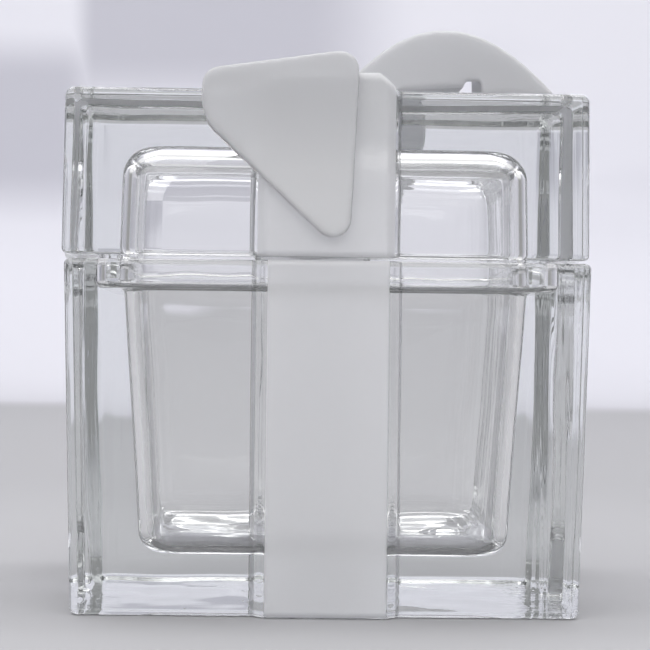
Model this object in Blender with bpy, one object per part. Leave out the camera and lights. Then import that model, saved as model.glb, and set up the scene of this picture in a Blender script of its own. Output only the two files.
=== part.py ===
"""A square glass jar with a lift-off lid, shaped like a wrapped present.

The box and the lid are pressed clear glass with raised ribbon bands. The bow on the lid is four
pieces of frosted glass: a knot, one standing loop, and two tails that hang over the front and back
edges. Metres, +Z up, front at -Y, origin at the middle of the flat face that the jar stands on.
"""

import math

import bmesh
import bpy
from mathutils import Matrix, Vector

MM = 0.001

# Driving dimensions
WIDTH = 60.0 * MM  # outside, across two opposite faces, at the seam
BASE_HEIGHT = 40.3 * MM
LID_HEIGHT = 19.0 * MM
GAP = 0.3 * MM  # between pieces that touch on the real jar

# Outside of the box and the lid
HALF = WIDTH / 2
BASE_DRAFT = 1.1 * MM  # the box is this much narrower at its foot, on its left and its right
DEPTH_DRAFT = 0.25 * MM  # the same at its front and its back
LID_DRAFT = 0.15 * MM
CORNER = 1.2 * MM  # upright edges
FOOT_ROUND = 0.8 * MM
RIM_ROUND = 0.7 * MM
TOP_ROUND = 1.1 * MM

# Ribbon bands
RIBBON_FLAT = 6.9 * MM  # half the width of the band's face
RIBBON_FOOT = 8.1 * MM  # half the width where its slopes meet the glass
RELIEF = 1.5 * MM
TOP_FLAT = 5.9 * MM  # the same as RIBBON_FLAT, for the cross on the lid's top
TOP_RELIEF = 1.9 * MM

# Well of the box
FLOOR = 6.3 * MM
WELL_HALF = 23.4 * MM
WELL_FLOOR_HALF = 21.5 * MM
WELL_CORNER = 3.0 * MM
WELL_ROUND = 2.8 * MM
LIP_ROUND = 0.5 * MM

# Step in the rim, and the lid's flange that drops into it
STEP_HALF = 26.6 * MM
STEP_DEPTH = 3.3 * MM
STEP_ROUND = 0.8 * MM
FLANGE_CLEARANCE = 0.35 * MM
FLANGE_ROUND = 0.6 * MM

# Lid
LID_BOTTOM = BASE_HEIGHT + GAP
LID_TOP = LID_BOTTOM + LID_HEIGHT
LID_PLATE = 6.2 * MM  # thickness over the hollow
HOLLOW_HALF = 23.8 * MM
HOLLOW_DRAFT = 0.3 * MM
HOLLOW_ROUND = 3.7 * MM

# Bow
SEAT = LID_TOP + TOP_RELIEF + GAP  # underside of what sits on the ribbon cross
KNOT_LEFT = -3.8 * MM
KNOT_RIGHT = 3.6 * MM
KNOT_DEPTH = 11.0 * MM
KNOT_HEIGHT = 4.5 * MM
KNOT_ROUND = 1.6 * MM
LOOP_MIDDLE = 15.0 * MM
LOOP_TOP = LID_TOP + 10.3 * MM
LOOP_FALL_LEFT = 48.0  # the loop's back falls by this times the square of the way from its middle
LOOP_FALL_RIGHT = 40.5
LOOP_END = 29.1 * MM
LOOP_HALF_WIDTH = 6.7 * MM
LOOP_NECK = 0.62  # width at the knot, as a share of the full width
LOOP_OPENING = 0.6  # share of the loop's length over which it widens
LOOP_TAPER = 0.08  # share of its width that it loses again towards its far end
LOOP_ROUND = 0.6 * MM
LOOP_SECTIONS = 16
HOLLOW_START = 9.4 * MM
CHANNEL_START = 17.7 * MM
CHANNEL_END = 19.8 * MM
HOLLOW_CEILING = LID_TOP + 2.75 * MM
HOLLOW_RISE = 0.4 * MM
CHANNEL_CEILING = LID_TOP + 3.9 * MM
CHANNEL_RISE = 2.2 * MM  # how much higher the channel's ceiling is at the back
TAIL_PROUD = 2.8 * MM  # how far a tail stands out of the lid's face
TAIL_RIGHT = 3.5 * MM
TAIL_RIGHT_TOP = LID_TOP + 4.45 * MM
TAIL_LEFT = -14.25 * MM
TAIL_LEFT_TOP = LID_TOP + 1.85 * MM
TAIL_LEFT_LOW = LID_TOP - 3.7 * MM  # where the slanted cut starts
TAIL_TIP = (2.45 * MM, LID_TOP - 19.2 * MM)  # the sharp point that the tip is rounded from
TAIL_NECK = 4.0 * MM  # half width beside the knot
PLAN_MARGIN = 1.0 * MM  # how far a tail's plan reaches past its outline

ARC_STEPS = 3
CORNER_STEPS = 4
OUTLINE_STEPS = 5
NARROWEST = 0.98  # how much of a side the ribbon's points may take on a ring narrower than the ribbon
TIGHT = 0.6 * MM  # corner radius of the innermost rings on the lid's top


def clear_scene():
    for obj in list(bpy.data.objects):
        bpy.data.objects.remove(obj, do_unlink=True)


def glass(name, colour, roughness, alpha):
    material = bpy.data.materials.new(name)
    material.use_nodes = True
    shader = material.node_tree.nodes["Principled BSDF"]
    shader.inputs["Base Color"].default_value = (*colour, 1.0)
    shader.inputs["Roughness"].default_value = roughness
    shader.inputs["Metallic"].default_value = 0.0
    shader.inputs["IOR"].default_value = 1.52
    shader.inputs["Transmission Weight"].default_value = 1.0
    shader.inputs["Alpha"].default_value = alpha
    material.diffuse_color = (*colour, alpha)
    return material


def finish_object(name, mesh, material, sharp=math.radians(35)):
    mesh.materials.append(material)
    mesh.shade_smooth()
    mesh.set_sharp_from_angle(angle=sharp)
    obj = bpy.data.objects.new(name, mesh)
    bpy.context.scene.collection.objects.link(obj)
    return obj


# Square solids, made of rings


def band_share(along, flat):
    """1 on the face of a ribbon band, 0 beside it, and a straight slope between."""
    slope = (RIBBON_FOOT - abs(along)) / (RIBBON_FOOT - flat)
    return min(1.0, max(0.0, slope))


def ring(half, corner, z, out=0.0, up=0.0, deeper=0.0):
    """One closed outline: a rounded square, moved out and up by the ribbon bands' relief.

    deeper moves the front and the back side further out than half.
    """
    straight = half - corner
    fit = min(1.0, NARROWEST * straight / RIBBON_FOOT)
    half_stations = [fit * place for place in (TOP_FLAT, RIBBON_FLAT, RIBBON_FOOT)]
    side = []
    for along in [-place for place in reversed(half_stations)] + half_stations:
        x = half + out * band_share(along, RIBBON_FLAT)
        side.append((x, along, z + up * band_share(along, TOP_FLAT)))
    for step in range(CORNER_STEPS + 1):
        angle = math.radians(90) * step / CORNER_STEPS
        x = straight + corner * math.cos(angle)
        y = straight + corner * math.sin(angle)
        side.append((x, y, z + up * band_share(min(x, y), TOP_FLAT)))
    turned = []
    for quarter in range(4):
        turn = Matrix.Rotation(math.radians(90) * quarter, 3, "Z")
        turned.extend(turn @ Vector(point) for point in side)
    for point in turned:
        point.y *= 1 + deeper / half
    return turned


def quarter_arc(start, end, bulge_first):
    """Points of a quarter ellipse from start to end, both (half, z), without its start.

    bulge_first is "half" where the curve leaves start along the half-width, "z" where it leaves
    along the height.
    """
    points = []
    for step in range(1, ARC_STEPS + 1):
        angle = math.radians(90) * step / ARC_STEPS
        early, late = math.sin(angle), 1 - math.cos(angle)
        across, along = (early, late) if bulge_first == "half" else (late, early)
        half = start[0] + (end[0] - start[0]) * across
        z = start[1] + (end[1] - start[1]) * along
        points.append((half, z))
    return points


def ring_solid(name, rings, material):
    """A closed solid through the rings, with a flat face at each end."""
    mesh = bpy.data.meshes.new(name)
    bm = bmesh.new()
    loops = [[bm.verts.new(point) for point in points] for points in rings]
    for lower, upper in zip(loops, loops[1:]):
        count = len(lower)
        for i in range(count):
            j = (i + 1) % count
            bm.faces.new((lower[i], lower[j], upper[j], upper[i]))
    bm.faces.new(loops[0])
    bm.faces.new(loops[-1])
    bmesh.ops.recalc_face_normals(bm, faces=bm.faces)
    bm.to_mesh(mesh)
    bm.free()
    return finish_object(name, mesh, material)


def corner_at(half, full_half, corner):
    """The corner radius of a ring that a rounded edge has pulled in from full_half."""
    return max(0.3 * MM, corner - (full_half - half))


def base_rings():
    foot = HALF - BASE_DRAFT
    outside = [(foot - FOOT_ROUND, 0.0)]
    outside += quarter_arc((foot - FOOT_ROUND, 0.0), (foot, FOOT_ROUND), "half")
    shoulder = BASE_HEIGHT - RIM_ROUND
    rings = []
    for half, z in outside:
        deeper = (BASE_DRAFT - DEPTH_DRAFT) * (1 - z / shoulder)
        rings.append(ring(half, corner_at(half, foot, CORNER), z, RELIEF, 0.0, deeper))
    rim = [(HALF, shoulder)]
    rim += quarter_arc((HALF, shoulder), (HALF - RIM_ROUND, BASE_HEIGHT), "z")
    rings += [ring(half, corner_at(half, HALF, CORNER), z, RELIEF) for half, z in rim]
    ledge = BASE_HEIGHT - STEP_DEPTH
    step = [(STEP_HALF, BASE_HEIGHT), (STEP_HALF, ledge + STEP_ROUND)]
    step += quarter_arc(step[-1], (STEP_HALF - STEP_ROUND, ledge), "z")
    step += [(WELL_HALF + LIP_ROUND, ledge)]
    step += quarter_arc(step[-1], (WELL_HALF, ledge - LIP_ROUND), "half")
    step += [(WELL_FLOOR_HALF, FLOOR + WELL_ROUND)]
    step += quarter_arc(step[-1], (WELL_FLOOR_HALF - WELL_ROUND, FLOOR), "z")
    rings += [ring(half, WELL_CORNER, z) for half, z in step]
    return rings


def lid_rings(grow=0.0):
    """The lid from its hollow's ceiling down, round the flange and up its outside.

    With grow the hollow and the flange are left out and the outside faces move out by it, which
    makes the envelope that the tails are cut with.
    """
    flange_half = STEP_HALF - FLANGE_CLEARANCE
    flange_foot = BASE_HEIGHT - STEP_DEPTH + FLANGE_CLEARANCE
    ceiling = LID_TOP - LID_PLATE
    upper_half = HOLLOW_HALF - HOLLOW_DRAFT
    inside = [(upper_half - HOLLOW_ROUND, ceiling)]
    inside += quarter_arc(inside[-1], (upper_half, ceiling - HOLLOW_ROUND), "half")
    inside += [(HOLLOW_HALF, flange_foot + FLANGE_ROUND)]
    inside += quarter_arc(inside[-1], (HOLLOW_HALF + FLANGE_ROUND, flange_foot), "z")
    inside += [(flange_half - FLANGE_ROUND, flange_foot)]
    inside += quarter_arc(inside[-1], (flange_half, flange_foot + FLANGE_ROUND), "half")
    inside += [(flange_half, LID_BOTTOM)]
    rings = [] if grow else [ring(half, WELL_CORNER, z) for half, z in inside]
    return rings + lid_outside_rings(grow)


def lid_outside_rings(grow):
    side = HALF + grow
    top = LID_TOP + grow
    bottom = LID_BOTTOM - grow
    upper = side - LID_DRAFT
    rim = [(side - RIM_ROUND, bottom)]
    rim += quarter_arc(rim[-1], (side, bottom + RIM_ROUND), "half")
    rings = [ring(half, corner_at(half, side, CORNER), z, RELIEF) for half, z in rim]
    crown = [(upper, top - TOP_ROUND)]
    crown += quarter_arc(crown[-1], (upper - TOP_ROUND, top), "z")
    for half, z in crown:
        rings.append(ring(half, corner_at(half, upper, CORNER), z, RELIEF, TOP_RELIEF))
    rings.append(ring(RIBBON_FOOT + TIGHT, TIGHT, top, 0.0, TOP_RELIEF))
    rings.append(ring(TOP_FLAT, TIGHT, top, 0.0, TOP_RELIEF))
    return rings


# Bow pieces


def rounded_outline(corners):
    """A closed outline through (x, z, radius) corners, each turned with an arc."""
    outline = []
    count = len(corners)
    for i, (x, z, radius) in enumerate(corners):
        corner = Vector((x, z))
        to_before = (Vector(corners[i - 1][:2]) - corner).normalized()
        to_after = (Vector(corners[(i + 1) % count][:2]) - corner).normalized()
        half_opening = to_before.angle(to_after) / 2
        middle = corner + (to_before + to_after).normalized() * radius / math.sin(half_opening)
        start = corner + to_before * radius / math.tan(half_opening) - middle
        turn = to_before.angle_signed(to_after)
        sweep = math.copysign(math.pi - 2 * half_opening, turn)
        for step in range(OUTLINE_STEPS + 1):
            outline.append(middle + Matrix.Rotation(sweep * step / OUTLINE_STEPS, 2) @ start)
    return outline


def prism(name, outline, near, far, place):
    """A solid between two copies of an outline. place turns (a, b, depth) into (x, y, z)."""
    mesh = bpy.data.meshes.new(name)
    bm = bmesh.new()
    ends = [[bm.verts.new(place(a, b, depth)) for a, b in outline] for depth in (near, far)]
    count = len(outline)
    for i in range(count):
        j = (i + 1) % count
        bm.faces.new((ends[0][i], ends[0][j], ends[1][j], ends[1][i]))
    bm.faces.new(ends[0])
    bm.faces.new(ends[1])
    bmesh.ops.recalc_face_normals(bm, faces=bm.faces)
    bm.to_mesh(mesh)
    bm.free()
    return mesh


def upright(a, b, depth):
    return (a, depth, b)


def level(a, b, depth):
    return (a, b, depth)


def helper(name, mesh):
    obj = bpy.data.objects.new(name, mesh)
    obj.hide_render = True
    obj.display_type = "WIRE"
    bpy.context.scene.collection.objects.link(obj)
    return obj


def add_boolean(obj, other, operation):
    """EXACT returns an empty mesh for one of the two tails, so both are cut with MANIFOLD."""
    modifier = obj.modifiers.new(f"{operation.lower()} {other.name}", "BOOLEAN")
    modifier.operation = operation
    modifier.object = other
    modifier.solver = "MANIFOLD"


def tail_outline():
    """The tail seen from the front: a sloping top, an upright right side and a slanted cut."""
    return rounded_outline(
        [
            (TAIL_RIGHT, TAIL_RIGHT_TOP, 2.2 * MM),
            (TAIL_LEFT, TAIL_LEFT_TOP, 2.0 * MM),
            (TAIL_LEFT, TAIL_LEFT_LOW, 5.0 * MM),
            (*TAIL_TIP, 2.0 * MM),
        ]
    )


def tail_plan():
    """The tail seen from above: narrow at the knot, wide at the edge that it hangs over."""
    front = -HALF - TAIL_PROUD
    neck = -KNOT_DEPTH / 2 - GAP
    return [
        (-TAIL_NECK, neck),
        (TAIL_NECK, neck),
        (TAIL_RIGHT + PLAN_MARGIN, front - PLAN_MARGIN),
        (TAIL_LEFT - PLAN_MARGIN, front - PLAN_MARGIN),
    ]


def make_tail(name, material, lid_envelope):
    front = -HALF - TAIL_PROUD
    mesh = prism(name, tail_outline(), front, 0.0, upright)
    tail = finish_object(name, mesh, material)
    low = TAIL_TIP[1] - PLAN_MARGIN
    high = TAIL_RIGHT_TOP + PLAN_MARGIN
    plan = prism(f"{name}_plan", tail_plan(), low, high, level)
    plan_cutter = helper(f"{name}_plan", plan)
    plan_cutter.parent = tail
    add_boolean(tail, plan_cutter, "INTERSECT")
    add_boolean(tail, lid_envelope, "DIFFERENCE")
    return tail


def loop_stations():
    """Places along X, closer together near the ends, with a pair at each step of the underside."""
    start = KNOT_RIGHT + GAP
    places = []
    for i in range(LOOP_SECTIONS + 1):
        share = (1 - math.cos(math.pi * i / LOOP_SECTIONS)) / 2
        places.append(start + (LOOP_END - start) * share)
    apart = 0.4 * MM
    hair = 0.03 * MM
    for edge in (HOLLOW_START, CHANNEL_START, CHANNEL_END):
        places = [place for place in places if abs(place - edge) > apart]
        places += [edge - hair, edge + hair]
    return sorted(places)


def loop_underside(x):
    """Heights of the loop's underside at its front and at its back."""
    if x < HOLLOW_START or x > CHANNEL_END:
        return SEAT, SEAT
    if x > CHANNEL_START:
        return CHANNEL_CEILING, CHANNEL_CEILING + CHANNEL_RISE
    share = (x - HOLLOW_START) / (CHANNEL_START - HOLLOW_START)
    ceiling = HOLLOW_CEILING + HOLLOW_RISE * share
    return ceiling, ceiling


def loop_half_width(x):
    """Narrow at the knot, full at the loop's middle and a little narrower at its far end."""
    share = (x - KNOT_RIGHT) / (LOOP_END - KNOT_RIGHT)
    opened = math.sin(min(1.0, share / LOOP_OPENING) * math.pi / 2)
    opening = LOOP_NECK + (1 - LOOP_NECK) * opened
    return LOOP_HALF_WIDTH * opening * (1 - LOOP_TAPER * share**3)


def loop_back(x):
    """Height of the loop's back: a flat arch, steeper on the knot's side."""
    away = x - LOOP_MIDDLE
    fall = LOOP_FALL_LEFT if away < 0 else LOOP_FALL_RIGHT
    return LOOP_TOP - fall * away**2


def loop_section(x):
    """A rectangle with rounded corners. Its corners take at most nine tenths of its height."""
    top = loop_back(x)
    low_front, low_back = loop_underside(x)
    half = loop_half_width(x)
    radius = min(LOOP_ROUND, 0.45 * (top - low_back))
    section = []
    for y_side, z_side, start in ((1, 1, 0), (-1, 1, 90), (-1, -1, 180), (1, -1, 270)):
        y_middle = y_side * (half - radius)
        low = low_back if y_side > 0 else low_front
        z_middle = top - radius if z_side > 0 else low + radius
        for step in range(ARC_STEPS + 1):
            angle = math.radians(start + 90 * step / ARC_STEPS)
            section.append(
                (x, y_middle + radius * math.cos(angle), z_middle + radius * math.sin(angle))
            )
    return section


def make_loop(material):
    return ring_solid("bow_loop", [loop_section(x) for x in loop_stations()], material)


def make_knot(material):
    """A pillow: a block whose upright edges and crown are rounded, and whose underside is flat."""
    width = KNOT_RIGHT - KNOT_LEFT
    mesh = bpy.data.meshes.new("bow_knot")
    bm = bmesh.new()
    middle = ((KNOT_LEFT + KNOT_RIGHT) / 2, 0.0, SEAT + KNOT_HEIGHT / 2)
    size = Matrix.Diagonal((width, KNOT_DEPTH, KNOT_HEIGHT, 1.0))
    bmesh.ops.create_cube(bm, size=1.0, matrix=Matrix.Translation(middle) @ size)
    middle_height = SEAT + KNOT_HEIGHT / 2
    edges = [edge for edge in bm.edges if max(vert.co.z for vert in edge.verts) > middle_height]
    bmesh.ops.bevel(
        bm,
        geom=edges,
        offset=KNOT_ROUND,
        segments=4,
        profile=0.5,
        affect="EDGES",
        clamp_overlap=True,
    )
    bmesh.ops.recalc_face_normals(bm, faces=bm.faces)
    bm.to_mesh(mesh)
    bm.free()
    return finish_object("bow_knot", mesh, material)


def main():
    clear_scene()
    clear_glass = glass("clear_glass", (0.94, 0.96, 0.95), 0.02, 0.35)
    frosted_glass = glass("frosted_glass", (0.80, 0.81, 0.82), 0.55, 0.85)

    ring_solid("base_box", base_rings(), clear_glass)
    lid = ring_solid("lid", lid_rings(), clear_glass)
    envelope = ring_solid("lid_envelope", lid_rings(GAP), clear_glass)
    envelope.hide_render = True
    envelope.display_type = "WIRE"

    front_tail = make_tail("bow_front_tail", frosted_glass, envelope)
    back_tail = make_tail("bow_back_tail", frosted_glass, envelope)
    back_tail.rotation_euler.z = math.pi
    loop = make_loop(frosted_glass)
    knot = make_knot(frosted_glass)

    lid_group = bpy.data.objects.new("lid_lift", None)
    lid_group.empty_display_size = 0.01
    bpy.context.scene.collection.objects.link(lid_group)
    for piece in (lid, front_tail, back_tail, loop, knot):
        piece.parent = lid_group


main()
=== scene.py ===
"""Looks of the square lidded glass jar: pressed clear glass with frosted ribbon bands and bow.

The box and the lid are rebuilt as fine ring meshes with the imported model's dimensions, so that their
edges bend light smoothly. The tails are rebuilt from their outline, so that they flow into the lid.
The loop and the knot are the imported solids, with their edges melted round.
Metres, +Z up, front at -Y.
"""

import math

import bmesh
import bpy
import numpy as np
from mathutils import Matrix, Vector
from mathutils.bvhtree import BVHTree


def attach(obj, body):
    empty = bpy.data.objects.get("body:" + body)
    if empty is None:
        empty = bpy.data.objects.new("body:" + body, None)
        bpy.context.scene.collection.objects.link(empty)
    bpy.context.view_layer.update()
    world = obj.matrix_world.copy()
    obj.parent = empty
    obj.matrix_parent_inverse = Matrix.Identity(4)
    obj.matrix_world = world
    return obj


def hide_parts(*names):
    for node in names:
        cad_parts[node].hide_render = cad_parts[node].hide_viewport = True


MM = 0.001

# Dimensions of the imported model
HALF = 30.0 * MM
BASE_HEIGHT = 40.3 * MM
BASE_DRAFT = 1.1 * MM
DEPTH_DRAFT = 0.25 * MM
LID_DRAFT = 0.15 * MM
CORNER = 1.2 * MM
FOOT_ROUND = 0.8 * MM
RIM_ROUND = 0.7 * MM
TOP_ROUND = 1.1 * MM
RIBBON_FLAT = 6.9 * MM
RIBBON_FOOT = 8.1 * MM
RELIEF = 1.5 * MM
TOP_FLAT = 5.9 * MM
TOP_RELIEF = 1.9 * MM
FLOOR = 6.3 * MM
WELL_HALF = 23.4 * MM
WELL_FLOOR_HALF = 21.5 * MM
WELL_CORNER = 3.0 * MM
WELL_ROUND = 2.8 * MM
LIP_ROUND = 0.5 * MM
STEP_HALF = 26.6 * MM
STEP_DEPTH = 3.3 * MM
STEP_ROUND = 0.8 * MM
FLANGE_CLEARANCE = 0.35 * MM
FLANGE_ROUND = 0.6 * MM
LID_BOTTOM = 40.6 * MM
LID_TOP = 59.6 * MM
LID_PLATE = 6.2 * MM
HOLLOW_HALF = 23.8 * MM
HOLLOW_DRAFT = 0.3 * MM
HOLLOW_ROUND = 3.7 * MM
KNOT_DEPTH = 11.0 * MM
TAIL_PROUD = 2.8 * MM
TAIL_RIGHT = 3.5 * MM
TAIL_RIGHT_TOP = LID_TOP + 4.45 * MM
TAIL_LEFT = -14.25 * MM
TAIL_LEFT_TOP = LID_TOP + 1.85 * MM
TAIL_LEFT_LOW = LID_TOP - 3.7 * MM
TAIL_TIP = (2.45 * MM, LID_TOP - 19.2 * MM)
TAIL_NECK = 4.0 * MM
TAIL_RIGHT_ROUND = 2.2 * MM
TAIL_LEFT_ROUND = 2.0 * MM
TAIL_LOW_ROUND = 5.0 * MM
TAIL_TIP_ROUND = 2.0 * MM
KNOT_GAP = 0.3 * MM  # between a tail and the knot
PLAN_MARGIN = 1.0 * MM  # how far the tail's plan reaches past its outline

# Fineness of the meshes
OUTLINE_STEPS = 12
ARC_STEPS = 12
RIPPLED_STEPS = 54
CORNER_STEPS = 14
BOX_SIDE_STEPS = 22
WELL_STEPS = 18
LID_SIDE_STEPS = 12
HOLLOW_STEPS = 8
BRIM_STEPS = 4
FLAT_STEPS = 2
LEAST_CORNER = 0.3 * MM
BRIM = 0.25 * MM  # rounding of the rim's inner edge

# Unevenness of the pressed glass, mostly as depths
BOX_SEED = 0.4
LID_SEED = 2.9
WAVE = 0.035 * MM  # all over the outside
INSIDE_WAVE = 0.07 * MM
FLOOR_WAVE = 0.12 * MM  # in the well's floor and the ceiling of the lid's hollow
TOP_WAVE = 0.35 * MM
BOX_STREAKS = 0.22 * MM  # upright streaks on the left and right faces
LID_STREAKS = 0.13 * MM
EDGE_SHARE = 0.45  # depth of the streaks on the front and the back, as a share of the sides'
CLEAR_HALF = 16.0 * MM  # the front and the back have no streaks within this of their middle
FADE = 8.0 * MM  # way over which the streaks grow from the corner
ROUND_RIPPLE = 0.07 * MM  # fine ripples along the hollows' rounded edges, at the back
RIPPLE_COUNT = 5.5
LID_SAG = 0.12 * MM  # how far the middle of the lid's top has sunk
FOOT_SAG = 0.7 * MM  # how far the middle of the underside has risen
BOX_BACK_CORNER = 3.4 * MM  # how far out of the sharp corner the extra rounding at the back starts
LID_BACK_CORNER = 1.5 * MM
BACK_CORNER_SHARE = 0.3
SLOPE_SOFTNESS = 0.25 * MM  # how far the ribbon bands' edges are rounded

# How the lid and the bow sit
LID_SHIFT = -0.28 * MM
LID_TILT = 0.2  # degrees
CONTACT = 0.03 * MM  # gap left between the lid and the bow
SETTLE_NEAR = 0.36 * MM  # bow faces nearer to the lid than this move down to it
SETTLE_FAR = 0.9 * MM  # faces farther than this don't move
SETTLE_STEP = 0.3 * MM  # what a face between the two moves at most
SINK = 0.35 * MM  # how far the lid's stand-in lies inside the lid
STAND_IN_LOW = (-18.0 * MM, -36.0 * MM, LID_BOTTOM + 1.0 * MM)
STAND_IN_HIGH = (10.0 * MM, -4.0 * MM, LID_TOP + 3.0 * MM)
BOW_VOXEL = 0.25 * MM
TAIL_SMOOTHING = 16
LOOP_SMOOTHING = 3
KNOT_SMOOTHING = 4
FILLET = 0.45 * MM  # how far from the lid's clear faces a tail's surface is clear too
BARE = 0.02 * MM  # the same on the lid's bands

# Clear glass
IOR = 1.52
BOX_BAND_HALF = HALF - BASE_DRAFT - FOOT_ROUND  # outer side faces are farther out than this
LID_BAND_HALF = HALF - 1.0 * MM
LID_BAND_TOP = LID_TOP - 0.4 * MM
ABOVE_FOOT = (0.05 * MM, 0.15 * MM)  # the underside isn't etched
CLEAR_TINT = (0.985, 0.987, 0.985)
DEPTH_TINT = (0.79, 0.81, 0.805, 1.0)
DEPTH_DENSITY = 14.0
GLASS_WAVE = 0.05 * MM
GLASS_WAVE_SCALE = 110.0
STREAK_BUMP = 0.25 * MM
STREAK_SCALE = 420.0
STREAK_STRETCH = 0.06
RIGHT_STREAKS = (20.0 * MM, 25.0 * MM)  # the streaks grow over this way
LEFT_STREAKS = (-22.0 * MM, -28.0 * MM)
LEFT_STREAK_SHARE = 0.25
BOX_STREAK_SHARE = 0.8
LID_STREAK_SHARE = 0.3

# Frosted glass
BASE_FROST = 6.85 * MM  # half width of the etched face of a band
LID_FROST = 7.75 * MM
FROST_EDGE = 0.12 * MM  # half the way over which the etching ends
BAND_DARK = (0.91, 0.915, 0.93)
BAND_LIGHT = (0.97, 0.972, 0.985)
BAND_ROUGHNESS = 0.6
BAND_TRANSMISSION = 0.5
MOTTLE_SCALE = 260.0
# The bow's colour carries painted shade: lighter low down, darker towards the top of the lid and above
# it
BOW_LIT_LOW = (0.97, 0.975, 0.985)
BOW_SHADED_HIGH = (0.78, 0.785, 0.80)
BOW_SHADE_FADE = (LID_TOP - 14.0 * MM, LID_TOP)  # from its lit low colour to its painted shade high up
BOW_ROUGHNESS = 0.8
BOW_TRANSMISSION = 0.4
BOW_SUBSURFACE = 0.4
SUBSURFACE_DEPTH = 2.5 * MM
GRAIN = 0.05 * MM
GRAIN_SCALE = 5000.0
GRAIN_STRENGTH = 0.15

# Stage and light, in metres
FLOOR_PLACES = [-4.0, -1.5, 0.0, 0.4, 0.74]
SWEEP_RADIUS = 0.09
SWEEP_STEPS = 12
WALL_HEIGHTS = [0.5, 1.6]
STAGE_COLUMNS = [-5.0, -1.8, 0.0, 1.8, 5.0]
STAGE_DROP = 0.1 * MM
WALL_START = (0.63, 0.88)  # the floor's colour turns into the wall's over this way
SHADED_LOW_BACKDROP = (0.02, 0.10)  # and the wall's painted shade low down into its main tone over these heights
LIT_NEAR_FLOOR = (-0.03, 0.22)  # and the near floor's painted light into the rest's tone over this way
OVER_LEFT = (-0.102, -0.088)  # edges of the shade high on the wall, each from outside to inside
OVER_RIGHT = (0.079, 0.016)
OVER_LOW = (0.137, 0.173)
BESIDE_RIGHT = (-0.079, -0.106)  # edges of the shade at the left of it
BESIDE_LOW = (0.083, 0.115)
BESIDE_HIGH = (0.187, 0.160)
# Painted shade in the cloth's folds: leaning streaks of noise darken the wall towards the shade tone
FOLD_SCALE = 7.0
FOLD_STRETCH = (1.0, 1.0, 3.0)
FOLD_LEAN = 0.35  # radians
FOLD_SHADE_RANGE = (0.52, 0.68)
FOLD_SHADE_DEPTH = 0.12
# One pale cloth with its light and shade painted: the floor's tone is painted shade, the wall's main
# tone painted light
SHADED_FLOOR_TONE = (0.38, 0.38, 0.393)
# painted light: the floor in front of and around the object is lighter, which lifts the glass's shadow
LIT_NEAR_FLOOR_TONE = (0.45, 0.45, 0.464)
# painted shade: the wall's low part is darker
SHADED_LOW_BACKDROP_TONE = (0.76, 0.76, 0.825)
LIT_BACKDROP_TONE = (0.925, 0.925, 0.995)
SHADE_TONE = (0.635, 0.635, 0.705)
WORLD_DIM = 0.34
WORLD_BRIGHT = 1.0
WORLD_BEHIND = (-0.1, 0.75)  # the world brightens over these parts of its direction, +Y and +Z
WORLD_ABOVE = (0.2, 0.6)
WORLD_TINT = (0.98, 0.98, 1.0, 1.0)
LIGHT_TINT = (1.0, 0.99, 0.98)

# Camera
CAMERA_PLACE = (-0.0088, -0.278, 0.0319)
CAMERA_LENS = 121.6
CAMERA_SHIFT = (0.068, -0.034)
CAMERA_YAW = 0.8  # degrees
CAMERA_PITCH = 0.82
CAMERA_ROLL = 0.65

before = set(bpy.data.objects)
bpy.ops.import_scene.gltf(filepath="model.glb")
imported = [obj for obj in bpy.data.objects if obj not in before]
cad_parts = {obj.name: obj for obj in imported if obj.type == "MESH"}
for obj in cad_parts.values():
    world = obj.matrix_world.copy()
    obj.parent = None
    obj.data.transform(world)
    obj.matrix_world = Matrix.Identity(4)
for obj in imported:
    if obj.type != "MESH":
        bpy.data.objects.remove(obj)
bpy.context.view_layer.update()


# Materials


def principled(name):
    material = bpy.data.materials.new(name)
    material.use_nodes = True
    tree = material.node_tree
    return material, tree, tree.nodes["Principled BSDF"]


def add_node(tree, kind, **values):
    node = tree.nodes.new(kind)
    for key, value in values.items():
        if key in node.inputs:
            node.inputs[key].default_value = value
        else:
            setattr(node, key, value)
    return node


def link(tree, source, target):
    tree.links.new(source, target)


def colour_mix(tree, factor, first, second):
    """The colour output of a mix of two colours, or of a socket and a colour."""
    node = tree.nodes.new("ShaderNodeMix")
    node.data_type = "RGBA"
    a, b = [socket for socket in node.inputs if socket.type == "RGBA"]
    link(tree, factor, node.inputs["Factor"])
    for socket, value in ((a, first), (b, second)):
        if isinstance(value, tuple):
            socket.default_value = (*value, 1.0)
        else:
            link(tree, value, socket)
    return [socket for socket in node.outputs if socket.type == "RGBA"][0]


def ramp(tree, source, low, high, out_low=0.0, out_high=1.0):
    """source, taken smoothly from low..high to out_low..out_high."""
    node = add_node(tree, "ShaderNodeMapRange", interpolation_type="SMOOTHSTEP")
    link(tree, source, node.inputs["Value"])
    for name, value in (
        ("From Min", low),
        ("From Max", high),
        ("To Min", out_low),
        ("To Max", out_high),
    ):
        node.inputs[name].default_value = value
    return node.outputs["Result"]


def math_node(tree, operation, first, second=0.0):
    node = add_node(tree, "ShaderNodeMath", operation=operation)
    for socket, value in zip(node.inputs, (first, second)):
        if isinstance(value, float):
            socket.default_value = value
        else:
            link(tree, value, socket)
    return node.outputs["Value"]


def times(tree, first, second):
    return math_node(tree, "MULTIPLY", first, second)


def axes(tree, position):
    split = add_node(tree, "ShaderNodeSeparateXYZ")
    link(tree, position, split.inputs["Vector"])
    return [split.outputs[axis] for axis in "XYZ"]


def noise_at(tree, position, **values):
    noise = add_node(tree, "ShaderNodeTexNoise", **values)
    link(tree, position, noise.inputs["Vector"])
    return noise.outputs["Fac"]


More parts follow.
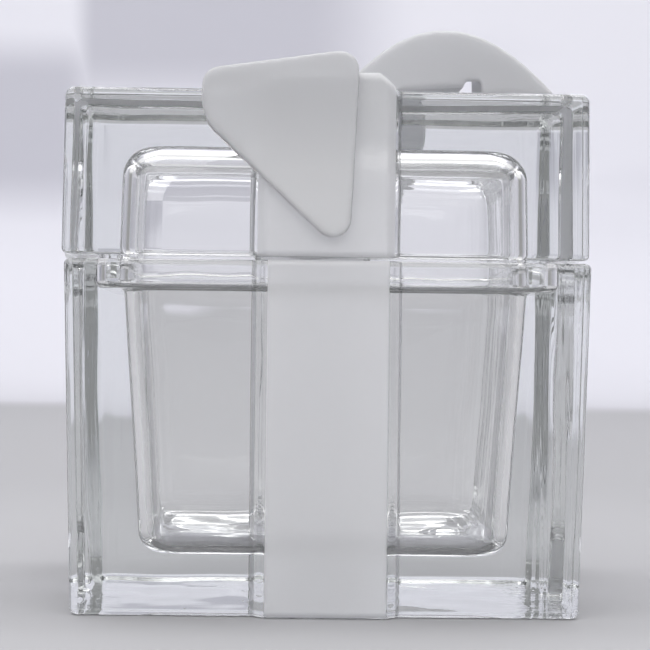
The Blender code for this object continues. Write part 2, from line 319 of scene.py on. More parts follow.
def bump_over(tree, height, below=None, **values):
    """A bump of height over the normal that another bump gives."""
    bump = add_node(tree, "ShaderNodeBump", **values)
    link(tree, height, bump.inputs["Height"])
    if below:
        link(tree, below, bump.inputs["Normal"])
    return bump.outputs["Normal"]


def clear_glass():
    """The bare faces and fillets where the bow is bonded to the lid."""
    material, tree, shader = principled("clear_glass")
    shader.inputs["Base Color"].default_value = (*CLEAR_TINT, 1.0)
    shader.inputs["Roughness"].default_value = 0.0
    shader.inputs["IOR"].default_value = IOR
    shader.inputs["Transmission Weight"].default_value = 1.0
    return material


def band_mask(tree, position, shift, frost, outside, top):
    """1 on the frosted ribbon bands: near the middle of an outer side face, or of the top."""
    x, y, z = axes(tree, position)
    x = math_node(tree, "ABSOLUTE", math_node(tree, "SUBTRACT", x, shift))
    y = math_node(tree, "ABSOLUTE", y)
    nearer = math_node(tree, "MINIMUM", x, y)
    farther = math_node(tree, "MAXIMUM", x, y)
    along = ramp(tree, nearer, frost + FROST_EDGE, frost - FROST_EDGE)
    side = ramp(tree, farther, outside - FROST_EDGE, outside + FROST_EDGE)
    lid_top_face = ramp(tree, z, top - FROST_EDGE, top + FROST_EDGE)
    skin = math_node(tree, "MAXIMUM", side, lid_top_face)
    above_foot = ramp(tree, z, *ABOVE_FOOT)
    return times(tree, times(tree, along, skin), above_foot)


def upright_streaks(tree, position, right_share, below):
    """A bump of fine upright streaks near the left and the right face, strongest on the right."""
    stretch = add_node(tree, "ShaderNodeMapping", Scale=(1.0, 1.0, STREAK_STRETCH))
    link(tree, position, stretch.inputs["Vector"])
    stretched = stretch.outputs["Vector"]
    noise = noise_at(tree, stretched, Scale=STREAK_SCALE, Detail=1.0, Distortion=0.3)
    x = axes(tree, position)[0]
    right = ramp(tree, x, *RIGHT_STREAKS, 0.0, right_share)
    left = ramp(tree, x, *LEFT_STREAKS, 0.0, LEFT_STREAK_SHARE)
    height = times(tree, noise, math_node(tree, "MAXIMUM", right, left))
    return bump_over(tree, height, below, Strength=1.0, Distance=STREAK_BUMP)


def jar_glass(name, shift, frost, outside, top, streak_share):
    """Clear pressed glass, etched where the ribbon bands are.

    Its thickness tints it. One material does both finishes, so that the tint's volume is closed.
    """
    material, tree, shader = principled(name)
    position = add_node(tree, "ShaderNodeTexCoord").outputs["Object"]
    mask = band_mask(tree, position, shift, frost, outside, top)
    mottle = noise_at(tree, position, Scale=MOTTLE_SCALE, Detail=4.0)
    band = colour_mix(tree, mottle, BAND_DARK, BAND_LIGHT)
    transmission = ramp(tree, mask, 0.0, 1.0, 1.0, BAND_TRANSMISSION)
    link(tree, colour_mix(tree, mask, CLEAR_TINT, band), shader.inputs["Base Color"])
    link(tree, ramp(tree, mask, 0.0, 1.0, 0.0, BAND_ROUGHNESS), shader.inputs["Roughness"])
    link(tree, transmission, shader.inputs["Transmission Weight"])
    shader.inputs["IOR"].default_value = IOR
    waves = noise_at(tree, position, Scale=GLASS_WAVE_SCALE, Detail=1.0)
    normal = bump_over(tree, waves, Strength=1.0, Distance=GLASS_WAVE)
    normal = upright_streaks(tree, position, streak_share, normal)
    grain = times(tree, noise_at(tree, position, Scale=GRAIN_SCALE, Detail=3.0), mask)
    normal = bump_over(tree, grain, normal, Strength=GRAIN_STRENGTH, Distance=GRAIN)
    link(tree, normal, shader.inputs["Normal"])
    depth = add_node(tree, "ShaderNodeVolumeAbsorption", Color=DEPTH_TINT, Density=DEPTH_DENSITY)
    link(tree, depth.outputs["Volume"], tree.nodes["Material Output"].inputs["Volume"])
    return material


def bow_glass():
    """Frosted glass, with painted shade: darker towards the top of the lid and above it, where less
    light comes through the lid behind it.
    """
    material, tree, shader = principled("frosted_bow")
    shader.inputs["Roughness"].default_value = BOW_ROUGHNESS
    shader.inputs["IOR"].default_value = IOR
    shader.inputs["Specular IOR Level"].default_value = 0.3
    shader.inputs["Transmission Weight"].default_value = BOW_TRANSMISSION
    shader.inputs["Subsurface Weight"].default_value = BOW_SUBSURFACE
    shader.inputs["Subsurface Radius"].default_value = (1.0, 1.0, 1.0)
    shader.inputs["Subsurface Scale"].default_value = SUBSURFACE_DEPTH
    position = add_node(tree, "ShaderNodeTexCoord").outputs["Object"]
    # painted shade, by height
    height = ramp(tree, axes(tree, position)[2], *BOW_SHADE_FADE)
    link(tree, colour_mix(tree, height, BOW_LIT_LOW, BOW_SHADED_HIGH), shader.inputs["Base Color"])
    grain = noise_at(tree, position, Scale=GRAIN_SCALE, Detail=3.0)
    normal = bump_over(tree, grain, Strength=GRAIN_STRENGTH, Distance=GRAIN)
    link(tree, normal, shader.inputs["Normal"])
    return material


# Square solids, made of rings

# Where the mesh has its columns: in mm on and beside the ribbon band, then as shares of the rest
CENTRE_PLACES = [0.0, 1.5, 3.0, 4.5, 5.8, 6.4, 6.65, 6.85, 7.1, 7.35, 7.6, 7.9, 8.1, 8.35, 8.7, 9.2]
OUTER_SHARES = [0.1, 0.22, 0.36, 0.5, 0.62, 0.72, 0.8, 0.86, 0.91, 0.95, 0.98, 1.0]


def side_places(straight):
    """Places along one side of a ring, from one corner arc to the other."""
    centre = [place * MM for place in CENTRE_PLACES]
    reach = straight - centre[-1]
    half = centre + [centre[-1] + reach * share for share in OUTER_SHARES]
    return [-place for place in reversed(half[1:])] + half


def ramp_area(u):
    """Integral of a ramp that is 0 below 0 and 1 above 1."""
    return np.where(u < 0, 0.0, np.where(u > 1, u - 0.5, u * u / 2))


def band_share(along, flat=RIBBON_FLAT):
    """1 on the face of a ribbon band, 0 beside it, and a slope with rounded ends between."""
    width = RIBBON_FOOT - flat
    u = (RIBBON_FOOT - abs(along)) / width
    soft = SLOPE_SOFTNESS / width
    return float((ramp_area(u + soft) - ramp_area(u - soft)) / (2 * soft))


def ripple(x, y, z, seed):
    """A smooth unevenness between -1 and 0."""
    x, y, z = x / MM, y / MM, z / MM
    total = (
        math.sin(0.33 * x + 0.21 * z + seed)
        + math.sin(0.29 * y - 0.17 * z + 1.7 * seed)
        + 0.7 * math.sin(0.61 * x - 0.47 * y + 2.3 * seed)
        + 0.6 * math.sin(0.74 * z + 0.35 * x + 0.4 * y + 3.1 * seed)
        + 0.5 * math.sin(1.05 * y + 0.31 * z + 0.9 * x + 0.7 * seed)
    )
    return (total / 3.8 - 1) / 2


def streaks(along, z, seed):
    """A smooth unevenness between -1 and 0 that runs up and down."""
    along, z = along / MM, z / MM
    total = (
        math.sin(0.43 * along + 0.23 * z + seed)
        + 0.8 * math.sin(0.78 * along - 0.31 * z + 2.1 * seed)
        + 0.5 * math.sin(1.31 * along + 0.47 * z + 0.6 * seed)
        + 0.6 * math.sin(0.37 * z + 0.2 * along + 1.4 * seed)
    )
    return (total / 2.9 - 1) / 2


def ring(half, corner, z, out=0.0, up=0.0):
    """One closed outline, counter-clockwise from above: four sides, each with its corner arc."""
    straight = half - corner
    side = []
    for along in side_places(straight):
        share = band_share(along)
        side.append((half + out * share, along, z + up * band_share(along, TOP_FLAT)))
    for step in range(1, CORNER_STEPS):
        angle = math.radians(90) * step / CORNER_STEPS
        side.append((straight + corner * math.cos(angle), straight + corner * math.sin(angle), z))
    points = []
    for quarter in range(4):
        turn = Matrix.Rotation(math.radians(90) * quarter, 3, "Z")
        points.extend(turn @ Vector(point) for point in side)
    return points


def arc(start, end, bulge_first, steps=ARC_STEPS):
    """Points of a quarter ellipse from start to end, both (half, z), without its start."""
    points = []
    for step in range(1, steps + 1):
        angle = math.radians(90) * step / steps
        early, late = math.sin(angle), 1 - math.cos(angle)
        across, along = (early, late) if bulge_first == "half" else (late, early)
        half = start[0] + (end[0] - start[0]) * across
        z = start[1] + (end[1] - start[1]) * along
        points.append((half, z))
    return points


def add_rippled_arc(solid, start, end, bulge_first):
    """A hollow's quarter ellipse in fine steps, with ripples along its back that fade at both ends."""
    centre = Vector((end[0], start[1]) if bulge_first == "z" else (start[0], end[1]))
    for step, point in enumerate(arc(start, end, bulge_first, RIPPLED_STEPS)):
        share = (step + 1) / RIPPLED_STEPS
        wave = math.sin(math.pi * share) * math.sin(2 * math.pi * RIPPLE_COUNT * share)
        shift = (Vector(point) - centre).normalized() * ROUND_RIPPLE * wave
        half, z = point
        solid.add(half, WELL_CORNER, z, ripples=INSIDE_WAVE, outer=False, back_shift=shift)


def line(start, end, steps, tight=0.12 * MM):
    """Points from start to end without its start, with one more close to each end."""
    start, end = Vector(start), Vector(end)
    share = min(0.3, tight / (end - start).length)
    shares = [share] + [i / steps for i in range(1, steps)] + [1 - share, 1.0]
    return [tuple(start.lerp(end, s)) for s in sorted(set(shares))]


def corner_at(half, full_half, corner):
    return max(LEAST_CORNER, corner - (full_half - half))


class Solid:
    """A closed mesh made of rings, with a grid across the first and the last."""

    def __init__(self, seed, streak_depth, back_corner):
        self.bm = bmesh.new()
        self.seed = seed
        self.streak_depth = streak_depth
        self.back_corner = back_corner
        self.loops = []
        self.straights = []

    def add(
        self, half, corner, z, out=0.0, up=0.0, ripples=0.0, deeper=0.0, outer=True, back_shift=None
    ):
        """ripples is how deep the unevenness is, inwards. outer adds the upright streaks.

        deeper is how much further than half the front and the back faces are. back_shift moves the
        back of the ring outwards and up.
        """
        verts = []
        for point in ring(half, corner, z, out, up):
            point.y *= 1 + deeper / half
            wave = ripple(*point, self.seed) * ripples
            if outer:
                wave += self.side_wave(point)
            outwards = Vector((point.x, point.y, 0.0)).normalized()
            if back_shift:
                share = min(1.0, max(0.0, point.y / half))
                wave += back_shift[0] * share
                point.z += back_shift[1] * share
            verts.append(self.bm.verts.new(point + outwards * wave))
        self.loops.append(verts)
        self.straights.append(half - corner)

    def side_wave(self, point):
        return self.streak(*point) - self.back_rounding(point.x, point.y)

    def streak(self, x, y, z):
        """Upright streaks over the left and right faces, and beside the edges of the other two."""
        across = abs(x) - abs(y)
        if across > 0:
            share = min(1.0, across / FADE)
            side_seed = self.seed + (1.0 if x > 0 else 3.7)
            return self.streak_depth * share * streaks(y, z, side_seed)
        share = min(1.0, -across / FADE) * min(1.0, max(0.0, (abs(x) - CLEAR_HALF) / FADE))
        side_seed = self.seed + (5.1 if y > 0 else 6.3)
        return EDGE_SHARE * self.streak_depth * share * streaks(x, z, side_seed)

    def back_rounding(self, x, y):
        """How much further the two corners at the back are rounded off than the two in front."""
        if y <= 0:
            return 0.0
        return BACK_CORNER_SHARE * max(0.0, abs(x) + y - 2 * HALF + self.back_corner)

    def skin(self):
        for lower, upper in zip(self.loops, self.loops[1:]):
            count = len(lower)
            for i in range(count):
                j = (i + 1) % count
                self.bm.faces.new((lower[i], lower[j], upper[j], upper[i]))

    def cap(self, which, height):
        """Closes the first or last ring with a grid. height(x, y) gives the surface."""
        verts = self.loops[which]
        places = side_places(self.straights[which])
        count = len(places)
        last = count - 1
        grid = [[self.bm.verts.new((x, y, height(x, y))) for y in places] for x in places]
        for i in range(last):
            for j in range(last):
                corners = (grid[i][j], grid[i + 1][j], grid[i + 1][j + 1], grid[i][j + 1])
                self.bm.faces.new(corners)
        inner_sides = [
            [grid[last][j] for j in range(count)],
            [grid[last - j][last] for j in range(count)],
            [grid[0][last - j] for j in range(count)],
            [grid[j][0] for j in range(count)],
        ]
        per_side = count + CORNER_STEPS - 1
        for quarter, inner in enumerate(inner_sides):
            start = quarter * per_side
            outer = verts[start : start + count]
            for j in range(last):
                self.bm.faces.new((inner[j], outer[j], outer[j + 1], inner[j + 1]))
            fan = [verts[(start + last + k) % len(verts)] for k in range(CORNER_STEPS + 1)]
            for first, second in zip(fan, fan[1:]):
                self.bm.faces.new((inner[last], first, second))

    def finish(self, name, material=None):
        bmesh.ops.recalc_face_normals(self.bm, faces=self.bm.faces)
        mesh = bpy.data.meshes.new(name)
        self.bm.to_mesh(mesh)
        self.bm.free()
        mesh.shade_smooth()
        if material:
            mesh.materials.append(material)
        return add_object(name, mesh)


def add_object(name, mesh):
    obj = bpy.data.objects.new(name, mesh)
    bpy.context.scene.collection.objects.link(obj)
    return obj


def base_glass(material):
    solid = Solid(BOX_SEED, BOX_STREAKS, BOX_BACK_CORNER)
    foot = HALF - BASE_DRAFT
    shoulder = BASE_HEIGHT - RIM_ROUND

    def deeper(z):
        return (BASE_DRAFT - DEPTH_DRAFT) * (1 - z / shoulder)

    profile = [(foot - FOOT_ROUND - 0.15 * MM, 0.0), (foot - FOOT_ROUND, 0.0)]
    profile += arc(profile[-1], (foot, FOOT_ROUND), "half")
    for half, z in profile:
        solid.add(half, corner_at(half, foot, CORNER), z, RELIEF, deeper=deeper(z))
    side = line(profile[-1], (HALF, shoulder), BOX_SIDE_STEPS)
    for half, z in side:
        solid.add(half, CORNER, z, RELIEF, ripples=WAVE, deeper=deeper(z))
    rim = arc((HALF, shoulder), (HALF - RIM_ROUND, BASE_HEIGHT), "z")
    for half, z in rim:
        solid.add(half, corner_at(half, HALF, CORNER), z, RELIEF, ripples=WAVE)
    ledge = BASE_HEIGHT - STEP_DEPTH
    inside = line(rim[-1], (STEP_HALF + BRIM, BASE_HEIGHT), FLAT_STEPS)
    inside += arc(inside[-1], (STEP_HALF, BASE_HEIGHT - BRIM), "half", BRIM_STEPS)
    inside += line(inside[-1], (STEP_HALF, ledge + STEP_ROUND), FLAT_STEPS)
    inside += arc(inside[-1], (STEP_HALF - STEP_ROUND, ledge), "z")
    inside += line(inside[-1], (WELL_HALF + LIP_ROUND, ledge), FLAT_STEPS)
    inside += arc(inside[-1], (WELL_HALF, ledge - LIP_ROUND), "half")
    for half, z in inside:
        solid.add(half, WELL_CORNER, z, outer=False)
    well = line(inside[-1], (WELL_FLOOR_HALF, FLOOR + WELL_ROUND), WELL_STEPS)
    for half, z in well:
        solid.add(half, WELL_CORNER, z, ripples=INSIDE_WAVE, outer=False)
    add_rippled_arc(solid, well[-1], (WELL_FLOOR_HALF - WELL_ROUND, FLOOR), "z")
    solid.skin()
    solid.cap(0, lambda x, y: FOOT_SAG * hollow(x, y) * (1.2 + streaks(x, y, 0.8)))
    solid.cap(-1, uneven(FLOOR, FLOOR_WAVE, 0.9))
    return solid.finish("glass_box", material)


def hollow(x, y):
    """1 in the middle of a face and 0 at its edges."""
    reach = HALF - TOP_ROUND - LID_DRAFT
    return max(0.0, 1 - (x / reach) ** 2) * max(0.0, 1 - (y / reach) ** 2)


def uneven(level, depth, seed):
    """The surface of a floor or a ceiling, which is level at its edge and uneven in its middle."""
    return lambda x, y: level + depth * ripple(x, y, 0.0, seed) * hollow(1.4 * x, 1.4 * y)


def lid_top(x, y):
    share = max(band_share(x, TOP_FLAT), band_share(y, TOP_FLAT))
    sag = LID_SAG * hollow(x, y)
    wave = TOP_WAVE * hollow(x, y) * ripple(x, y, 0.0, 1.3)
    return LID_TOP + TOP_RELIEF * share - sag + wave


def add_lid_outside(solid, bottom, grow):
    """The lid's outside, from the points of its underside up to the edge of its top."""
    half_at_rim = HALF + grow
    bottom = bottom + arc(bottom[-1], (half_at_rim, bottom[-1][1] + RIM_ROUND), "half")
    for half, z in bottom:
        solid.add(half, corner_at(half, half_at_rim, CORNER), z, RELIEF, ripples=WAVE)
    upper = half_at_rim - LID_DRAFT
    top = LID_TOP + grow
    side = line(bottom[-1], (upper, top - TOP_ROUND), LID_SIDE_STEPS)
    for half, z in side:
        up = TOP_RELIEF * (z - bottom[-1][1]) / (side[-1][1] - bottom[-1][1])
        solid.add(half, CORNER, z, RELIEF, up, ripples=WAVE)
    for half, z in arc(side[-1], (upper - TOP_ROUND, top), "z"):
        solid.add(half, corner_at(half, upper, CORNER), z, RELIEF, TOP_RELIEF, ripples=WAVE)


def lid_envelope(grow):
    """The lid's outside, filled, with every face moved out by grow."""
    solid = Solid(LID_SEED, LID_STREAKS, LID_BACK_CORNER)
    low = LID_BOTTOM - grow
    add_lid_outside(solid, [(HALF - RIM_ROUND, low)], grow)
    solid.skin()
    solid.cap(0, lambda x, y: low)
    solid.cap(-1, lambda x, y: lid_top(x, y) + grow)
    return solid.finish("lid_envelope")


def lid_glass(material):
    solid = Solid(LID_SEED, LID_STREAKS, LID_BACK_CORNER)
    flange_half = STEP_HALF - FLANGE_CLEARANCE
    flange_foot = BASE_HEIGHT - STEP_DEPTH + FLANGE_CLEARANCE
    ceiling = LID_TOP - LID_PLATE
    upper_half = HOLLOW_HALF - HOLLOW_DRAFT
    arc_start = (upper_half - HOLLOW_ROUND, ceiling)
    arc_end = (upper_half, ceiling - HOLLOW_ROUND)
    solid.add(arc_start[0], WELL_CORNER, ceiling, ripples=INSIDE_WAVE, outer=False)
    add_rippled_arc(solid, arc_start, arc_end, "half")
    inside = line(arc_end, (HOLLOW_HALF, flange_foot + FLANGE_ROUND), HOLLOW_STEPS)
    inside += arc(inside[-1], (HOLLOW_HALF + FLANGE_ROUND, flange_foot), "z")
    inside += line(inside[-1], (flange_half - FLANGE_ROUND, flange_foot), FLAT_STEPS)
    inside += arc(inside[-1], (flange_half, flange_foot + FLANGE_ROUND), "half")
    inside += line(inside[-1], (flange_half, LID_BOTTOM), FLAT_STEPS)
    for half, z in inside:
        solid.add(half, WELL_CORNER, z, ripples=INSIDE_WAVE, outer=False)
    underside = line((flange_half, LID_BOTTOM), (HALF - RIM_ROUND, LID_BOTTOM), FLAT_STEPS)
    add_lid_outside(solid, underside, 0.0)
    solid.skin()
    solid.cap(0, uneven(ceiling, -FLOOR_WAVE, 2.2))
    solid.cap(-1, lid_top)
    return solid.finish("glass_lid", material)


# Bow pieces


def melt(obj, rounds):
    """Rounds an object's edges: a voxel remesh, then smoothing."""
    remesh = obj.modifiers.new("remesh", "REMESH")
    remesh.mode = "VOXEL"
    remesh.voxel_size = BOW_VOXEL
    smooth = obj.modifiers.new("smooth", "SMOOTH")
    smooth.factor = 0.5
    smooth.iterations = rounds
    apply_modifiers(obj)


def dress(obj, name, materials):
    obj.name = name
    mesh = obj.data
    mesh.name = name
    mesh.materials.clear()
    for material in materials:
        mesh.materials.append(material)
    mesh.shade_smooth()


def melted_node(node, name, material, rounds):
    """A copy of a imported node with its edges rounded."""
    obj = add_object(name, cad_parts[node].data.copy())
    melt(obj, rounds)
    dress(obj, name, [material])
    return obj


def rounded_outline(corners):
    """A closed outline through (x, z, radius) corners, each turned with an arc."""
    outline = []
    count = len(corners)
    for i, (x, z, radius) in enumerate(corners):
        corner = Vector((x, z))
        to_before = (Vector(corners[i - 1][:2]) - corner).normalized()
        to_after = (Vector(corners[(i + 1) % count][:2]) - corner).normalized()
        half_opening = to_before.angle(to_after) / 2
        middle = corner + (to_before + to_after).normalized() * radius / math.sin(half_opening)
        start = corner + to_before * radius / math.tan(half_opening) - middle
        turn = to_before.angle_signed(to_after)
        sweep = math.copysign(math.pi - 2 * half_opening, turn)
        for step in range(OUTLINE_STEPS + 1):
            outline.append(middle + Matrix.Rotation(sweep * step / OUTLINE_STEPS, 2) @ start)
    return outline


def prism(name, outline, near, far, place):
    """A solid between two copies of an outline. place turns (a, b, depth) into (x, y, z)."""
    bm = bmesh.new()
    ends = [[bm.verts.new(place(a, b, depth)) for a, b in outline] for depth in (near, far)]
    count = len(outline)
    for i in range(count):
        j = (i + 1) % count
        bm.faces.new((ends[0][i], ends[0][j], ends[1][j], ends[1][i]))
    bm.faces.new(ends[0])
    bm.faces.new(ends[1])
    bmesh.ops.recalc_face_normals(bm, faces=bm.faces)
    mesh = bpy.data.meshes.new(name)
    bm.to_mesh(mesh)
    bm.free()
    return add_object(name, mesh)


def upright(a, b, depth):
    return (a, depth, b)


def level(a, b, depth):
    return (a, b, depth)


def block(name, low, high):
    outline = [(low[0], low[1]), (high[0], low[1]), (high[0], high[1]), (low[0], high[1])]
    return prism(name, outline, low[2], high[2], level)


def cut(obj, other, operation):
    """Cuts obj with other, or keeps what they share. Both are closed meshes."""
    modifier = obj.modifiers.new(operation, "BOOLEAN")
    modifier.operation = operation
    modifier.object = other
    modifier.solver = "MANIFOLD"
    apply_modifiers(obj)


def apply_modifiers(obj):
    """Gives an object its evaluated mesh and takes its modifiers away."""
    graph = bpy.context.evaluated_depsgraph_get()
    result = bpy.data.meshes.new_from_object(obj.evaluated_get(graph))
    obj.modifiers.clear()
    old = obj.data
    obj.data = result
    bpy.data.meshes.remove(old)


def discard(*objs):
    for obj in objs:
        mesh = obj.data
        bpy.data.objects.remove(obj, do_unlink=True)
        bpy.data.meshes.remove(mesh)


def tail_draft():
    """The tail, not yet cut by the lid: its front outline, narrowed towards the knot."""
    front = -HALF - TAIL_PROUD
    outline = rounded_outline(
        [
            (TAIL_RIGHT, TAIL_RIGHT_TOP, TAIL_RIGHT_ROUND),
            (TAIL_LEFT, TAIL_LEFT_TOP, TAIL_LEFT_ROUND),
            (TAIL_LEFT, TAIL_LEFT_LOW, TAIL_LOW_ROUND),
            (*TAIL_TIP, TAIL_TIP_ROUND),
        ]
    )
    tail = prism("tail_draft", outline, front, 0.0, upright)
    neck = -KNOT_DEPTH / 2 - KNOT_GAP
    plan = [
        (-TAIL_NECK, neck),
        (TAIL_NECK, neck),
        (TAIL_RIGHT + PLAN_MARGIN, front - PLAN_MARGIN),
        (TAIL_LEFT - PLAN_MARGIN, front - PLAN_MARGIN),
    ]
    low = TAIL_TIP[1] - PLAN_MARGIN
    high = TAIL_RIGHT_TOP + PLAN_MARGIN
    cutter = prism("plan", plan, low, high, level)
    cut(tail, cutter, "INTERSECT")
    discard(cutter)
    return tail


def tail_glass(name, materials, envelope):
    """A tail with soft edges and a fillet along the lid.

    The tail is fused with a stand-in for the lid, both are remeshed and smoothed together, and
    the lid's own shape is cut away again.
    """
    tail = tail_draft()
    body = lid_envelope(-SINK)
    crop = block("crop", STAND_IN_LOW, STAND_IN_HIGH)
    cut(body, crop, "INTERSECT")
    draft = bmesh.new()
    for obj in (tail, body):
        draft.from_mesh(obj.data)
    draft.to_mesh(tail.data)
    draft.free()
    discard(body, crop)
    melt(tail, TAIL_SMOOTHING)
    cut(tail, envelope, "DIFFERENCE")
    keep_largest(tail.data)
    dress(tail, name, materials)
    near = BVHTree.FromObject(envelope, bpy.context.evaluated_depsgraph_get())
    for polygon in tail.data.polygons:
        _, _, _, distance = near.find_nearest(polygon.center)
        on_band = abs(polygon.center.x) < LID_FROST
        limit = BARE if on_band else FILLET
        polygon.material_index = 0 if distance < limit else 1
    return tail


def keep_largest(mesh):
    """Deletes all but the largest connected part."""
    bm = bmesh.new()
    bm.from_mesh(mesh)
    left = set(bm.verts)
    groups = []
    while left:
        front = [left.pop()]
        group = []
        while front:
            vert = front.pop()
            group.append(vert)
            for edge in vert.link_edges:
                other = edge.other_vert(vert)
                if other in left:
                    left.discard(other)
                    front.append(other)
        groups.append(group)
    groups.sort(key=len)
    for group in groups[:-1]:
        bmesh.ops.delete(bm, geom=group, context="VERTS")
    bm.to_mesh(mesh)
    bm.free()


def settle(obj, lid):
    """Moves the faces that sit on the lid down to it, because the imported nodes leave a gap."""
    tree = BVHTree.FromObject(lid, bpy.context.evaluated_depsgraph_get())
    for vert in obj.data.vertices:
        place, _, _, distance = tree.find_nearest(vert.co, SETTLE_FAR)
        if place is None or distance < CONTACT:
            continue
        share = min(1.0, (SETTLE_FAR - distance) / (SETTLE_FAR - SETTLE_NEAR))
        share = share * share * (3 - 2 * share)
        way = distance - CONTACT if distance < SETTLE_NEAR else SETTLE_STEP
        vert.co += (place - vert.co).normalized() * share * way


def seat_lid(pieces):
    """The lid sits a little to the left in its clearance, and a hair high on the left."""
    tilt = Matrix.Rotation(math.radians(LID_TILT), 4, "Y")
    pivot = Matrix.Translation((HALF, 0.0, LID_BOTTOM))
    move = Matrix.Translation((LID_SHIFT, 0.0, 0.0)) @ pivot @ tilt @ pivot.inverted()
    for piece in pieces:
        piece.data.transform(move)


# Stage, light and camera


def sweep_material():
    """Pale cloth with painted light and shade: a grey floor in painted shade, lighter in front of and
    around the object, a bright upright part in painted light, darker low down and in its folds, softly
    shaded to the top left.
    """
    material, tree, shader = principled("pale_cloth")
    shader.inputs["Roughness"].default_value = 0.9
    shader.inputs["Specular IOR Level"].default_value = 0.1
    position = add_node(tree, "ShaderNodeTexCoord").outputs["Object"]
    x, y, z = axes(tree, position)
    over = times(tree, ramp(tree, x, *OVER_LEFT), ramp(tree, x, *OVER_RIGHT))
    over = times(tree, over, ramp(tree, z, *OVER_LOW))
    beside = times(tree, ramp(tree, x, *BESIDE_RIGHT), ramp(tree, z, *BESIDE_LOW))
    beside = times(tree, beside, ramp(tree, z, *BESIDE_HIGH))
    shade = math_node(tree, "MAXIMUM", over, beside)
    # painted shade in folds of the cloth
    stretch = add_node(tree, "ShaderNodeMapping", Scale=FOLD_STRETCH, Rotation=(0.0, FOLD_LEAN, 0.0))
    link(tree, position, stretch.inputs["Vector"])
    stretched = stretch.outputs["Vector"]
    folds = noise_at(tree, stretched, Scale=FOLD_SCALE, Detail=1.5, Roughness=0.4)
    fold_shade = ramp(tree, folds, *FOLD_SHADE_RANGE, 0.0, FOLD_SHADE_DEPTH)
    # painted shade low on the wall, painted light above it
    wall = colour_mix(tree, ramp(tree, z, *SHADED_LOW_BACKDROP), SHADED_LOW_BACKDROP_TONE, LIT_BACKDROP_TONE)
    wall = colour_mix(tree, fold_shade, wall, SHADE_TONE)
    wall = colour_mix(tree, shade, wall, SHADE_TONE)
    # painted shade on the floor, with painted light near the object
    floor = colour_mix(tree, ramp(tree, y, *LIT_NEAR_FLOOR), LIT_NEAR_FLOOR_TONE, SHADED_FLOOR_TONE)
    # the floor's painted shade turns into the wall's painted light
    colour = colour_mix(tree, ramp(tree, y, *WALL_START), floor, wall)
    link(tree, colour, shader.inputs["Base Color"])
    return material


def make_stage():
    """A floor that curves up into a wall, a hair below the object's foot."""
    profile = [(y, 0.0) for y in FLOOR_PLACES]
    end = FLOOR_PLACES[-1]
    for step in range(1, SWEEP_STEPS + 1):
        angle = math.radians(90) * step / SWEEP_STEPS
        y = end + SWEEP_RADIUS * math.sin(angle)
        profile.append((y, SWEEP_RADIUS * (1 - math.cos(angle))))
    profile += [(end + SWEEP_RADIUS, z) for z in WALL_HEIGHTS]
    bm = bmesh.new()
    columns = [[bm.verts.new((x, y, z - STAGE_DROP)) for y, z in profile] for x in STAGE_COLUMNS]
    for left, right in zip(columns, columns[1:]):
        for i in range(len(profile) - 1):
            face = bm.faces.new((left[i], right[i], right[i + 1], left[i + 1]))
            face.smooth = True
    mesh = bpy.data.meshes.new("sweep")
    bm.to_mesh(mesh)
    bm.free()
    mesh.materials.append(sweep_material())
    obj = add_object("sweep", mesh)


def make_world():
    """Bright behind and above the object, and dim in front and to the sides, which draws its edges."""
    world = bpy.data.worlds.new("studio")
    bpy.context.scene.world = world
    world.use_nodes = True
    tree = world.node_tree
    background = tree.nodes["Background"]
    direction = add_node(tree, "ShaderNodeTexCoord").outputs["Generated"]
    _, y, z = axes(tree, direction)
    behind = ramp(tree, y, *WORLD_BEHIND)
    above = ramp(tree, z, *WORLD_ABOVE)
    bright = math_node(tree, "MAXIMUM", behind, above)
    strength = ramp(tree, bright, 0.0, 1.0, WORLD_DIM, WORLD_BRIGHT)
    link(tree, strength, background.inputs["Strength"])
    background.inputs["Color"].default_value = WORLD_TINT


def area_light(name, place, target, size, power):
    data = bpy.data.lights.new(name, "AREA")
    data.shape = "RECTANGLE"
    data.size, data.size_y = size
    data.energy = power
    data.color = LIGHT_TINT
    obj = bpy.data.objects.new(name, data)
    bpy.context.scene.collection.objects.link(obj)
    obj.location = place
    obj.rotation_euler = (Vector(target) - Vector(place)).to_track_quat("-Z", "Y").to_euler()


def make_lights():
    area_light("window", (0.0, 0.65, 0.95), (0.0, 0.1, 0.0), (1.6, 0.45), 2.0)
    area_light("backdrop_wash", (0.0, 0.2, 1.2), (0.0, 0.83, 0.30), (1.6, 0.4), 7.0)
    area_light("front_fill", (-0.1, -0.6, 0.7), (0.0, 0.0, 0.02), (1.0, 0.5), 2.5)


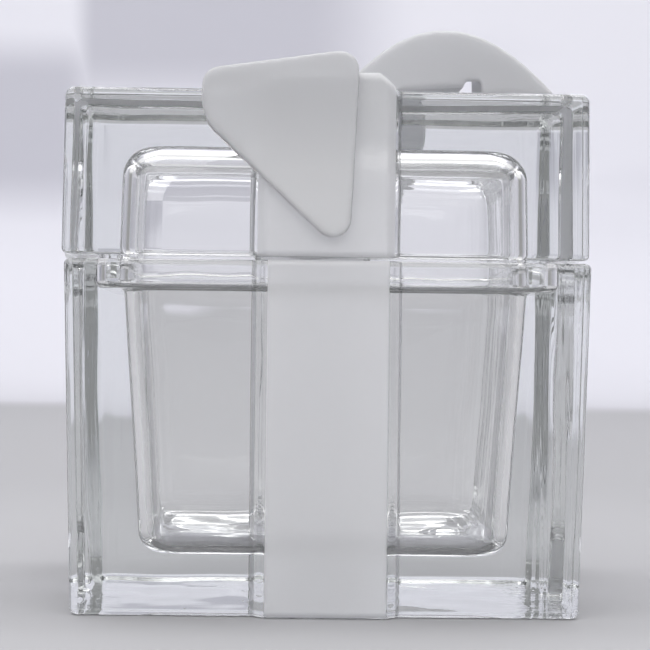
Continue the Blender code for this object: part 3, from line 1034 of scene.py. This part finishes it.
def make_camera():
    data = bpy.data.cameras.new("camera")
    data.sensor_width = 36.0
    data.lens = CAMERA_LENS
    data.shift_x, data.shift_y = CAMERA_SHIFT
    data.clip_start = 0.01
    data.clip_end = 20.0
    camera = bpy.data.objects.new("camera", data)
    bpy.context.scene.collection.objects.link(camera)
    angles = (CAMERA_YAW, CAMERA_PITCH, CAMERA_ROLL)
    yaw, pitch, roll = (math.radians(angle) for angle in angles)
    forward = Vector(
        (math.sin(yaw) * math.cos(pitch), math.cos(yaw) * math.cos(pitch), math.sin(pitch))
    )
    right = forward.cross(Vector((0, 0, 1))).normalized()
    up = right.cross(forward)
    tilted_right = right * math.cos(roll) + up * math.sin(roll)
    tilted_up = up * math.cos(roll) - right * math.sin(roll)
    basis = Matrix((tilted_right, tilted_up, -forward)).transposed().to_4x4()
    camera.matrix_world = Matrix.Translation(CAMERA_PLACE) @ basis
    bpy.context.scene.camera = camera


def make_bow(lid):
    clear = clear_glass()
    frosted = bow_glass()
    envelope = lid_envelope(CONTACT)
    front_tail = tail_glass("frosted_front_tail", [clear, frosted], envelope)
    back_tail = front_tail.copy()
    back_tail.data = front_tail.data.copy()
    back_tail.name = back_tail.data.name = "frosted_back_tail"
    back_tail.data.transform(Matrix.Rotation(math.pi, 4, "Z"))
    bpy.context.scene.collection.objects.link(back_tail)
    discard(envelope)
    loop = melted_node("bow_loop", "frosted_loop", frosted, LOOP_SMOOTHING)
    knot = melted_node("bow_knot", "frosted_knot", frosted, KNOT_SMOOTHING)
    for piece in (loop, knot):
        settle(piece, lid)
    bow = (front_tail, back_tail, loop, knot)
    for piece, node in zip(bow, ("bow_front_tail", "bow_back_tail", "bow_loop", "bow_knot")):
        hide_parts(node)
        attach(piece, "lid")
    return bow


def main():
    make_camera()
    nowhere = 1.0  # the box has no etched top
    etched = (0.0, BASE_FROST, BOX_BAND_HALF, nowhere)
    box = base_glass(jar_glass("box_glass", *etched, BOX_STREAK_SHARE))
    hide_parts("base_box")
    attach(box, "box")

    etched = (LID_SHIFT, LID_FROST, LID_BAND_HALF, LID_BAND_TOP)
    lid = lid_glass(jar_glass("lid_glass", *etched, LID_STREAK_SHARE))
    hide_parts("lid")
    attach(lid, "lid")
    seat_lid([lid, *make_bow(lid)])

    make_stage()
    make_world()
    make_lights()

    scene = bpy.context.scene
    scene.view_settings.view_transform = "Standard"
    scene.cycles.max_bounces = 32
    scene.cycles.transmission_bounces = 32
    scene.cycles.glossy_bounces = 12
    scene.cycles.transparent_max_bounces = 16


main()
